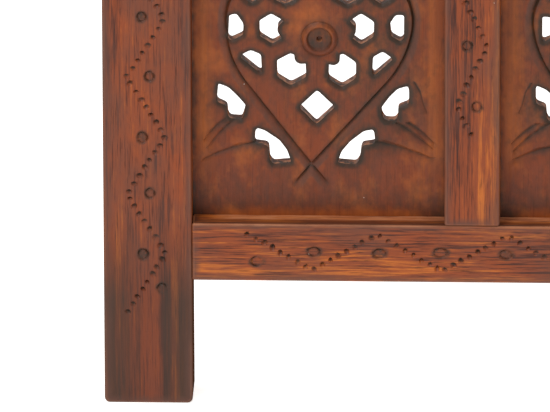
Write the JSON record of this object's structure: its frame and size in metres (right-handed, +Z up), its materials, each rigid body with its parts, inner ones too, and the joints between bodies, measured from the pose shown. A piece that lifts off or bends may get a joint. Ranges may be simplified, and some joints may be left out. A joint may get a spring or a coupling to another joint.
{
  "type": "carved lattice screen leaf",
  "caption": "Tall wooden screen leaf with two footed stiles, cross rails and pierced carved lattice panels, hung by its long edge.",
  "frame": {"origin": "centre of the hinge edge: the left stile's outer edge face, halfway up the leaf and in the middle of its thickness", "axes": "+X across the leaf towards the right stile, -Y out of the carved front, +Z up"},
  "size_m": [0.4, 0.028, 1.345],
  "materials": {
    "stained_frame_wood": "dark red-brown stained hardwood, waxed, with punched and gouged marks",
    "stained_panel_wood": "carved hardwood board, stained red-brown with near-black stain left in the cuts, satin wax"
  },
  "bodies": {
    "root": {"left_stile": "stained_frame_wood", "right_stile": "stained_frame_wood", "bottom_rail": "stained_frame_wood", "cross_rail_1": "stained_frame_wood", "cross_rail_2": "stained_frame_wood", "cross_rail_3": "stained_frame_wood", "cross_rail_4": "stained_frame_wood", "top_rail": "stained_frame_wood", "muntin_1": "stained_frame_wood", "muntin_2": "stained_frame_wood", "muntin_3": "stained_frame_wood", "muntin_4": "stained_frame_wood", "muntin_5": "stained_frame_wood", "left_panel_1": "stained_panel_wood", "right_panel_1": "stained_panel_wood", "left_panel_2": "stained_panel_wood", "right_panel_2": "stained_panel_wood", "left_panel_3": "stained_panel_wood", "right_panel_3": "stained_panel_wood", "left_panel_4": "stained_panel_wood", "right_panel_4": "stained_panel_wood", "left_panel_5": "stained_panel_wood", "right_panel_5": "stained_panel_wood"}
  },
  "joints": []
}
